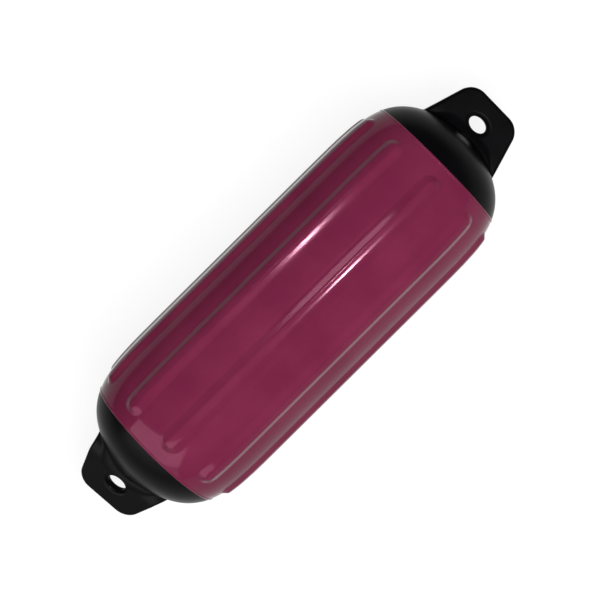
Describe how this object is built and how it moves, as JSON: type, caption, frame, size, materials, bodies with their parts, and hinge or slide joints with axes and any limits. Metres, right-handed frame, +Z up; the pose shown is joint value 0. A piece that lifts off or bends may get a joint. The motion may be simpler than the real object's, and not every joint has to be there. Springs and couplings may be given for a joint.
{
  "type": "pneumatic fender",
  "caption": "Inflatable boat fender: ribbed vinyl cylinder with domed ends and a flat rope eye at each end.",
  "frame": {"origin": "on the fender's axis, midway between the tips of its two rope eyes", "axes": "+X runs along the fender to the upper end, whose eye is nearly straight; +Z is up as it lies at rest on two neighbouring strips; the eye plates lean 18 degrees about X towards -Y"},
  "size_m": [0.6908, 0.2232, 0.2166],
  "materials": {
    "body_vinyl": "glossy burgundy moulded vinyl",
    "end_vinyl": "glossy black moulded vinyl",
    "valve_rubber": "matt black rubber"
  },
  "bodies": {
    "root": {"body_shell": "body_vinyl", "upper_end": "end_vinyl", "lower_end": "end_vinyl", "needle_valve": "valve_rubber"}
  },
  "joints": []
}
